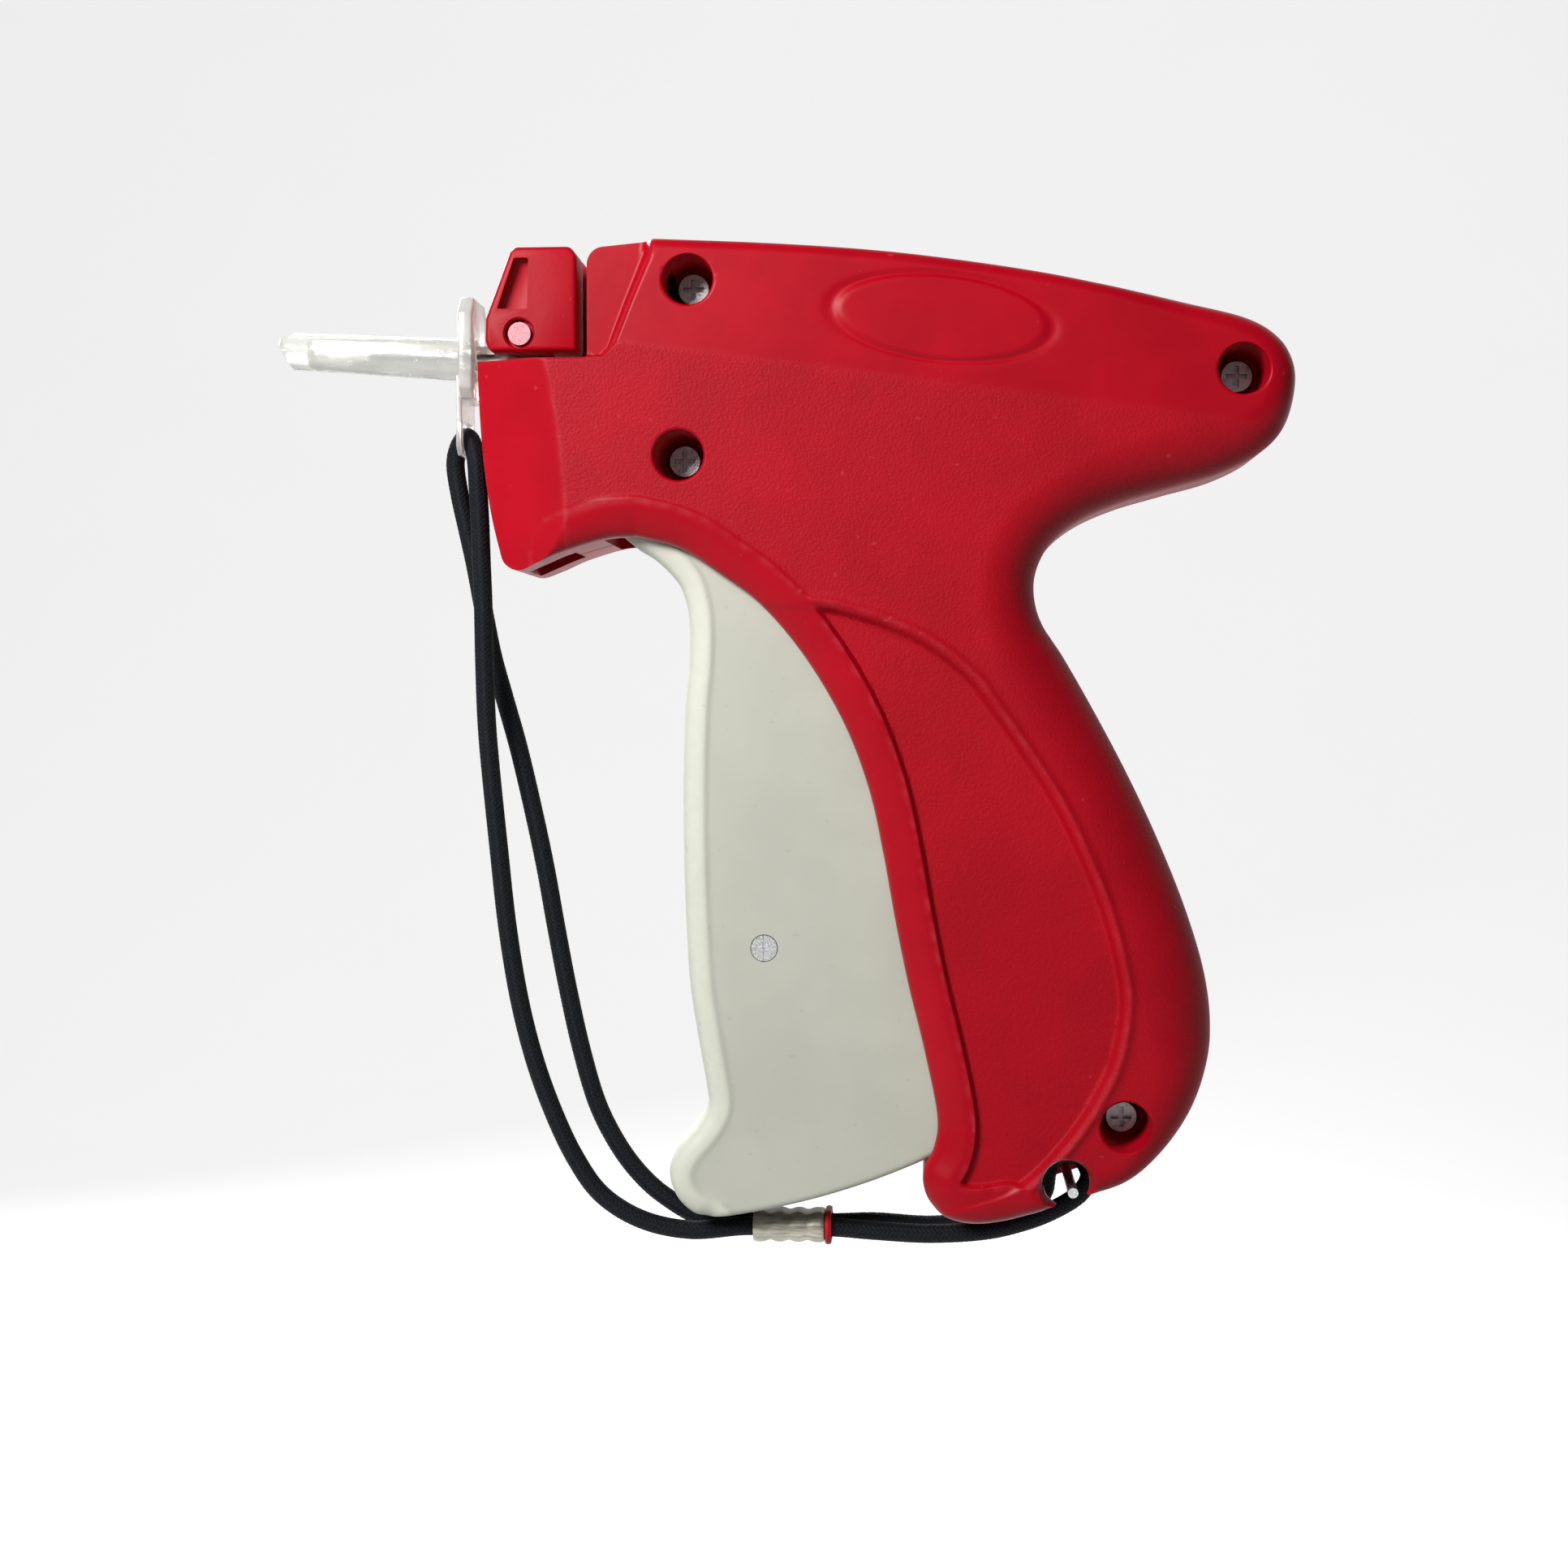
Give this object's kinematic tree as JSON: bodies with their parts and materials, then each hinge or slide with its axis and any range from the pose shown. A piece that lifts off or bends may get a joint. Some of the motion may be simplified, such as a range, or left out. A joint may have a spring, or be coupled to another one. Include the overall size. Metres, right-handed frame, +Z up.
{
  "type": "garment tagging gun",
  "caption": "Hand-held tagging gun: moulded two-part pistol casing, long finger trigger, hollow needle under a clear pull-off guard, tipping needle lock, clip channel and a looped wrist cord.",
  "frame": {"origin": "in the mid-plane, in the middle of the hand's hold on grip and trigger", "axes": "+Z up as the gun is held, the needle points to -X, +Y is the gun's right side and Y = 0 is its mid-plane"},
  "size_m": [0.1479, 0.027, 0.1465],
  "materials": {
    "red_abs": "moulded, satin sheen, fine grain on the grip",
    "cream_abs": "moulded, smooth satin",
    "clear_plastic": "clear, slightly milky",
    "steel": "plain bright",
    "black_cord": "tight round braid",
    "acetal": "natural white, waxy",
    "khaki_ferrule": "dull, crimped"
  },
  "bodies": {
    "casing": {"left_shell": "red_abs", "right_shell": "red_abs", "casing_screw_1": "steel", "casing_screw_2": "steel", "casing_screw_3": "steel", "casing_screw_4": "steel", "trigger_pivot_pin": "steel", "lever_fulcrum_pin": "steel", "pawl_pin": "steel", "lanyard_pin": "steel", "return_spring": "steel", "clip_guide": "acetal", "needle": "steel", "needle_hub": "acetal", "needle_carrier": "acetal", "cutter_blade": "steel", "needle_lock_pin": "steel", "cord_front_loop": "black_cord", "cord_rear_loop": "black_cord", "cord_ferrule": "khaki_ferrule", "ferrule_ring": "red_abs"},
    "trigger": {"trigger": "cream_abs", "trigger_pin": "steel"},
    "lever": {"drive_lever": "steel"},
    "slide": {"pusher_slide": "acetal", "slide_pin": "steel", "pusher_rod": "steel"},
    "pawl": {"feed_pawl": "steel"},
    "lock": {"needle_lock": "red_abs"},
    "guard": {"needle_guard": "clear_plastic"}
  },
  "joints": [
    {"name": "trigger_pull", "type": "hinge", "parent": "casing", "child": "trigger", "pos_m": [-0.043, 0, 0.05], "axis": [0, -1, 0], "range_deg": [0, 17], "stiffness_Nm_per_rad": 0.9, "springref_deg": -14.32},
    {"name": "lever_swing", "type": "hinge", "parent": "casing", "child": "lever", "pos_m": [0.012, 0, 0.017], "axis": [0, -1, 0], "range_deg": [0, 39.98]},
    {"name": "pusher_travel", "type": "slide", "parent": "casing", "child": "slide", "axis": [-1, 0, 0], "range_m": [0, 0.04002], "deforming": ["return_spring"]},
    {"name": "pawl_swing", "type": "hinge", "parent": "casing", "child": "pawl", "pos_m": [-0.0398, 0, 0.0824], "axis": [0, -1, 0], "range_deg": [0, 5.01]},
    {"name": "lock_tip", "type": "hinge", "parent": "casing", "child": "lock", "pos_m": [-0.0576, 0, 0.07435], "axis": [0, -1, 0], "range_deg": [0, 18]},
    {"name": "guard_pull_off", "type": "slide", "parent": "casing", "child": "guard", "axis": [-0.9981, 0, 0.061], "range_m": [0, 0.032], "deforming": ["cord_front_loop"]}
  ],
  "couplings": [
    {"joint": "lever_swing", "follows": "trigger_pull", "ratio": 2.351},
    {"joint": "pusher_travel", "follows": "trigger_pull", "m_per_rad": 0.13481},
    {"joint": "pawl_swing", "follows": "trigger_pull", "ratio": 0.29412}
  ]
}
